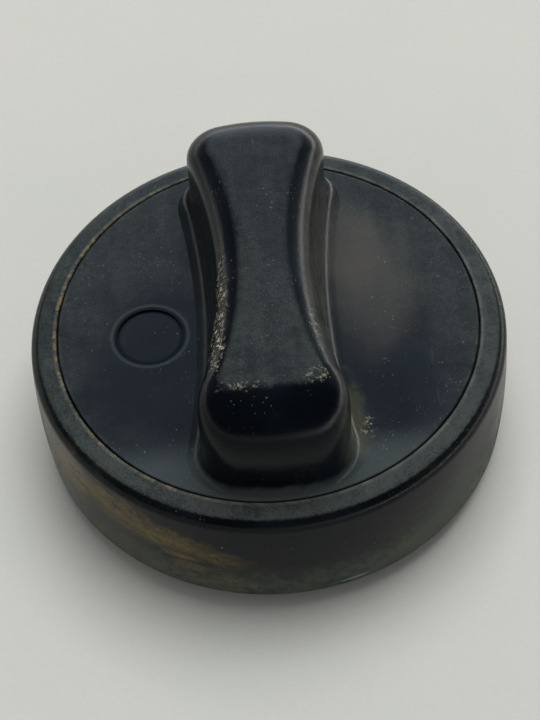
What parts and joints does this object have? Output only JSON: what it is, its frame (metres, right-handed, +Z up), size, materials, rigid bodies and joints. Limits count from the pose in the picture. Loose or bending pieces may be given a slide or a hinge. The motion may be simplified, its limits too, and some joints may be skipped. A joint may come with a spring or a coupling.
{
  "type": "fuel filler cap",
  "caption": "Round bayonet fuel filler cap with a raised dog-bone handle, a deep skirt, a sprung neck gasket and pressure and vacuum valves inside.",
  "frame": {"origin": "under the middle of the cap, on the plane that the cap rests on", "axes": "+Z up along the cap's axis, +Y along the handle, the ears along X"},
  "size_m": [0.0802, 0.0802, 0.043],
  "materials": {
    "ring_plastic": "weathered black moulded plastic, dusty",
    "grip_plastic": "black moulded plastic, satin, lightly soiled",
    "core_plastic": "black moulded plastic, matt",
    "screw_steel": "zinc plated",
    "yellow_zinc": "yellow passivated zinc on pressed steel",
    "spring_steel": "drawn wire",
    "washer_steel": "zinc plated",
    "seal_plate_steel": "zinc plated pressing",
    "gasket_rubber": "moulded rubber, matt",
    "valve_plastic": "natural acetal",
    "valve_brass": "turned"
  },
  "bodies": {
    "cap": {"skirt_ring": "ring_plastic", "grip_cover": "grip_plastic", "core_body": "core_plastic", "cover_screws": "screw_steel", "bayonet_plate": "yellow_zinc", "bayonet_screws": "screw_steel", "spring_seat_washer": "washer_steel", "main_spring": "spring_steel", "seal_snap_ring": "spring_steel", "valve_seat": "valve_plastic", "seat_o_ring": "gasket_rubber", "pressure_spring": "spring_steel"},
    "seal": {"seal_plate": "seal_plate_steel", "neck_gasket": "gasket_rubber"},
    "pressure_valve": {"pressure_valve_plate": "valve_brass", "pressure_valve_seal": "gasket_rubber", "vacuum_spring": "spring_steel"},
    "vacuum_valve": {"vacuum_valve": "valve_brass", "vacuum_valve_seal": "gasket_rubber", "vacuum_spring_clip": "spring_steel"}
  },
  "joints": [
    {"name": "seal_slide", "type": "slide", "parent": "cap", "child": "seal", "axis": [0, 0, 1], "range_m": [0, 0.0025], "stiffness_N_per_m": 2500, "springref_m": -0.003, "deforming": ["main_spring"]},
    {"name": "pressure_valve_slide", "type": "slide", "parent": "cap", "child": "pressure_valve", "axis": [0, 0, 1], "range_m": [0, 0.0015], "stiffness_N_per_m": 300, "springref_m": -0.003, "deforming": ["pressure_spring"]},
    {"name": "vacuum_valve_slide", "type": "slide", "parent": "pressure_valve", "child": "vacuum_valve", "axis": [0, 0, -1], "range_m": [0, 0.001], "stiffness_N_per_m": 60, "springref_m": -0.002, "deforming": ["vacuum_spring"]}
  ]
}
